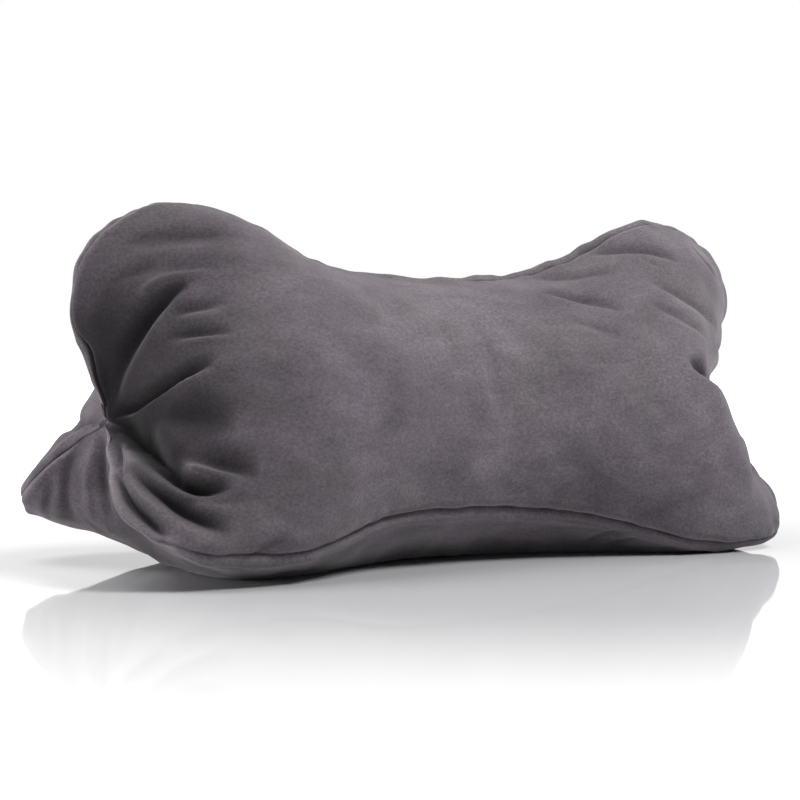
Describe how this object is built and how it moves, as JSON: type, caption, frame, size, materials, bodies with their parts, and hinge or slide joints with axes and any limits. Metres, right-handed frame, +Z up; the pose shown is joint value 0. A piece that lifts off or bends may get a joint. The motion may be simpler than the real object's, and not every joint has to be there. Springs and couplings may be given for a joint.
{
  "type": "bone-shaped reading pillow",
  "caption": "Bone-shaped reading pillow of short-pile velvet, firmly filled, with flared ears at each end, a drawn-in waist and seams that meet in a pinch.",
  "frame": {"origin": "on the surface the pillow rests on, under the middle of its box", "axes": "+X along the pillow from ear to ear, +Z up, -Y towards the viewer of the front panel"},
  "size_m": [0.448, 0.2144, 0.1994],
  "materials": {
    "velvet": "short-pile velvet, warm dark grey"
  },
  "bodies": {
    "root": {"pillow": "velvet"}
  },
  "joints": []
}
